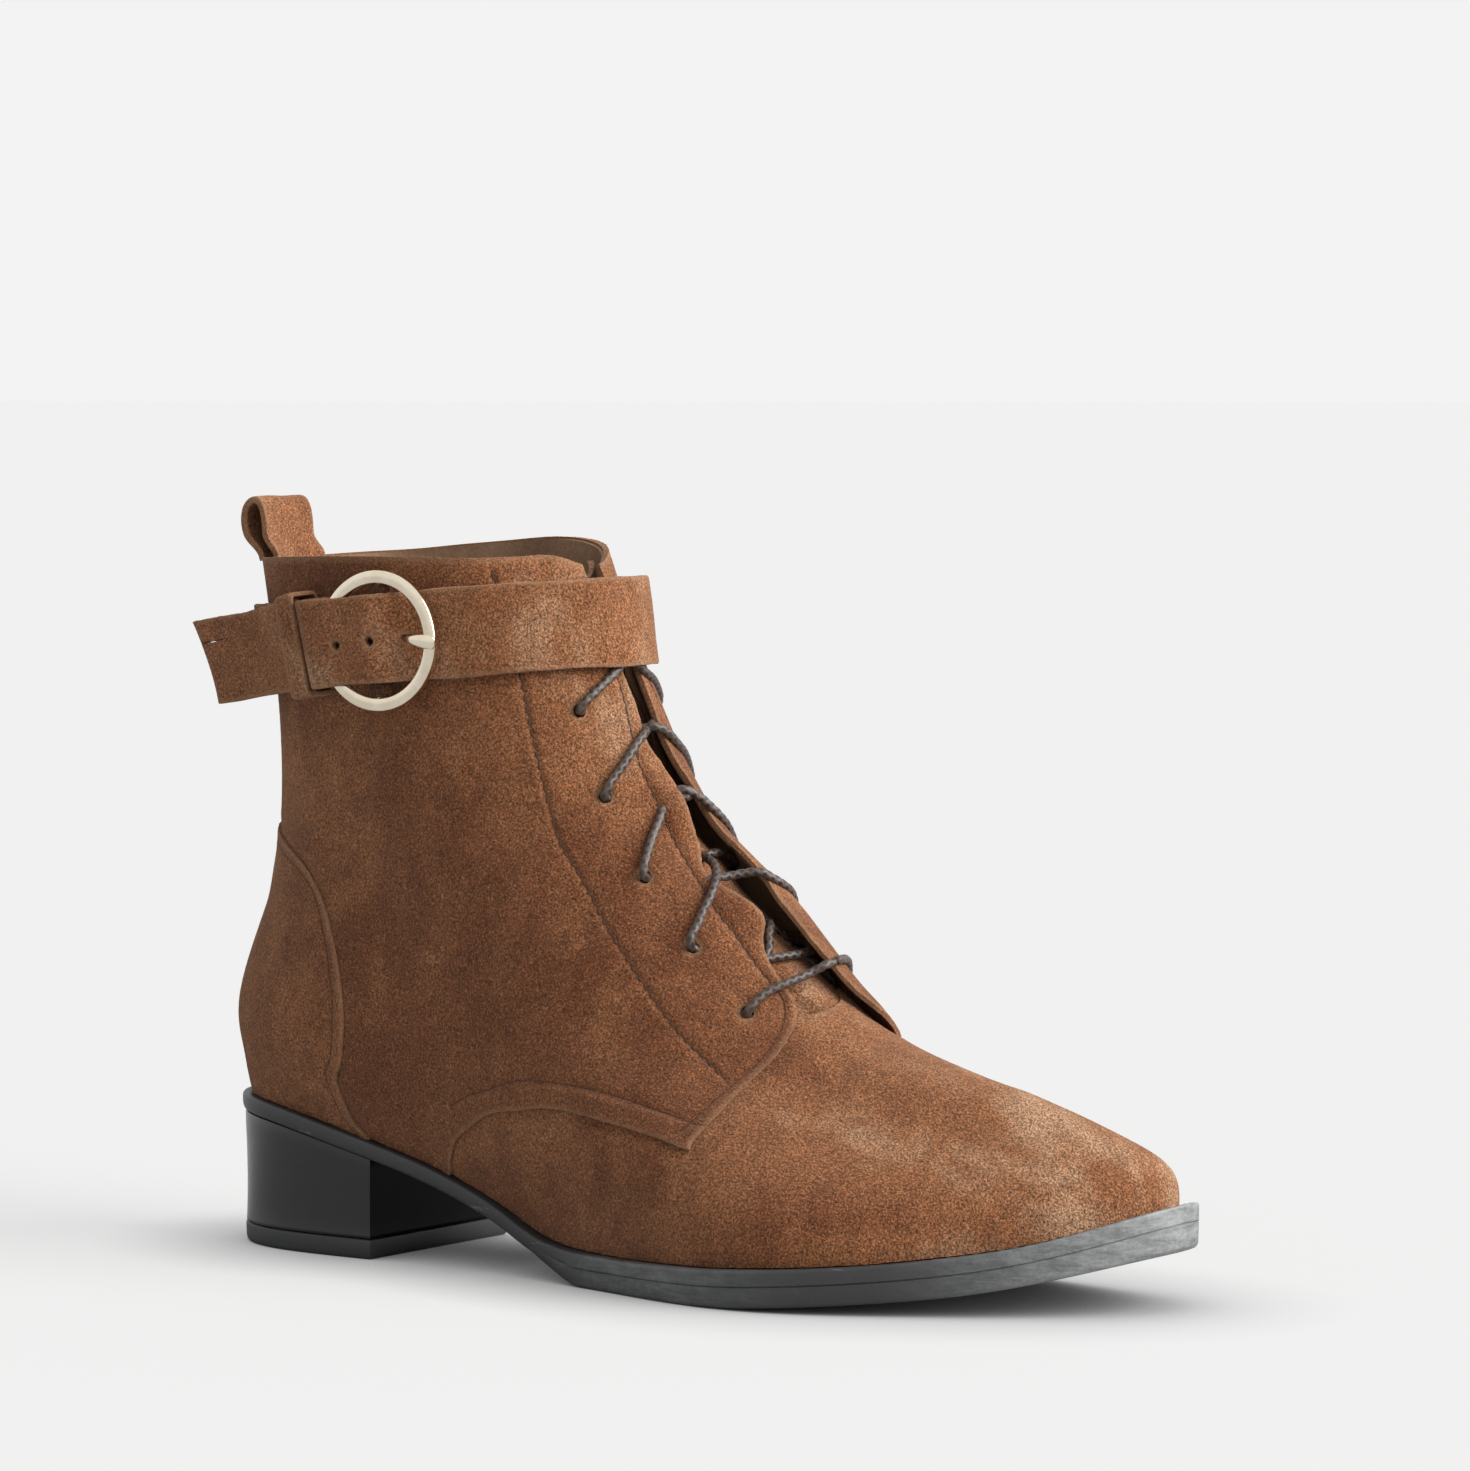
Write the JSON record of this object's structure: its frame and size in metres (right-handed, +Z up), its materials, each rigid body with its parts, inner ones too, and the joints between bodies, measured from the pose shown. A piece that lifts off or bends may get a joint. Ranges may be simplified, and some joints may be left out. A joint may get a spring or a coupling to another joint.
{
  "type": "lace up ankle boot",
  "caption": "Right suede lace up ankle boot with a low block heel, a buckled ankle strap over the laces, a pull loop at the back and a slim dark sole with toe spring.",
  "frame": {"origin": "centre of the heel's tread on the floor", "axes": "+X to the toe, +Y to the medial (big toe) side, +Z up"},
  "size_m": [0.2691, 0.0905, 0.189],
  "materials": {
    "suede": "brushed cognac brown suede with a short uneven nap",
    "insole_leather": "smooth matt sock leather",
    "sole_rubber": "satin black moulded rubber, scuffed at the rim",
    "heel_stack": "glossy black covered block",
    "buckle_metal": "polished pale gold",
    "lace_cord": "waxed round braid, dark grey brown"
  },
  "bodies": {
    "root": {"upper": "suede", "tongue": "suede", "insole": "insole_leather", "outsole": "sole_rubber", "heel_block": "heel_stack", "top_lift": "sole_rubber", "ankle_strap": "suede", "strap_keeper": "suede", "buckle_ring": "buckle_metal", "buckle_pin": "buckle_metal", "pull_loop": "suede", "lace_bar": "lace_cord", "lace_crossing_1": "lace_cord", "lace_crossing_2": "lace_cord", "lace_crossing_3": "lace_cord", "lace_crossing_4": "lace_cord", "lace_crossing_5": "lace_cord"}
  },
  "joints": []
}
